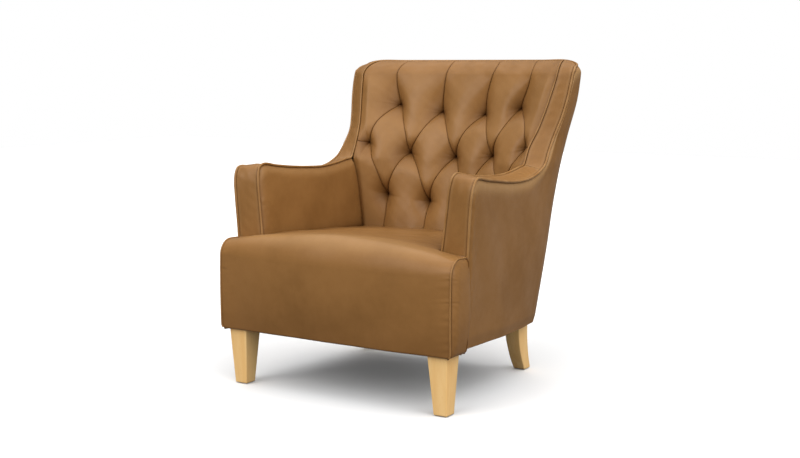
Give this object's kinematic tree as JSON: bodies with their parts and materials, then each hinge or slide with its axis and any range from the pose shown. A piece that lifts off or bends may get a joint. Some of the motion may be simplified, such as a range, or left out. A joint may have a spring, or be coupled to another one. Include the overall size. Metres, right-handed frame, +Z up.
{
  "type": "armchair",
  "caption": "Tight-seat upholstered armchair with a crowned seat, scooped arms running into narrow wings, a diamond-tufted hollow back, piped seams and wooden legs.",
  "frame": {"origin": "on the floor, under the middle of the chair's box", "axes": "+Z up, -Y towards the front of the seat, +X towards the sitter's left arm, which is on the viewer's right"},
  "size_m": [0.7842, 0.8184, 0.9215],
  "materials": {
    "leather": "satin aniline leather, mottled",
    "leather_piping": "satin aniline leather over cord",
    "maple_wood": "clear satin lacquer",
    "frame_wood": "planed",
    "steel": "zinc plated",
    "foam": "open-cell foam",
    "felt": "needled felt",
    "webbing": "woven",
    "black_cloth": "nonwoven",
    "nylon": "moulded"
  },
  "bodies": {
    "root": {"front_leg_left": "maple_wood", "front_leg_right": "maple_wood", "rear_leg_left": "maple_wood", "rear_leg_right": "maple_wood", "front_glide_left": "nylon", "front_glide_right": "nylon", "rear_glide_left": "nylon", "rear_glide_right": "nylon", "front_leg_plate_left": "steel", "front_leg_plate_right": "steel", "rear_leg_plate_left": "steel", "rear_leg_plate_right": "steel", "front_leg_bolt_left": "steel", "front_leg_bolt_right": "steel", "rear_leg_bolt_left": "steel", "rear_leg_bolt_right": "steel", "front_rail": "frame_wood", "rear_rail": "frame_wood", "side_rail_left": "frame_wood", "side_rail_right": "frame_wood", "front_corner_block_left": "frame_wood", "front_corner_block_right": "frame_wood", "rear_corner_block_left": "frame_wood", "rear_corner_block_right": "frame_wood", "arm_post_left": "frame_wood", "arm_post_right": "frame_wood", "arm_rail_left": "frame_wood", "arm_rail_right": "frame_wood", "wing_board_left": "frame_wood", "wing_board_right": "frame_wood", "back_post_left": "frame_wood", "back_post_right": "frame_wood", "crest_rail": "frame_wood", "lumbar_rail": "frame_wood", "seat_spring_1": "steel", "seat_spring_2": "steel", "seat_spring_3": "steel", "seat_spring_4": "steel", "seat_spring_5": "steel", "back_strap_left": "webbing", "back_strap_centre": "webbing", "back_strap_right": "webbing", "spring_felt": "felt", "seat_foam": "foam", "dust_cover": "black_cloth", "seat": "leather", "tufted_back": "leather", "inside_arm_left": "leather", "inside_arm_right": "leather", "outside_arm_left": "leather", "outside_arm_right": "leather", "outside_back": "leather", "arm_border_left": "leather", "arm_border_right": "leather", "wing_border_left": "leather", "wing_border_right": "leather", "outer_piping": "leather_piping", "inner_piping_left": "leather_piping", "inner_piping_right": "leather_piping"}
  },
  "joints": []
}
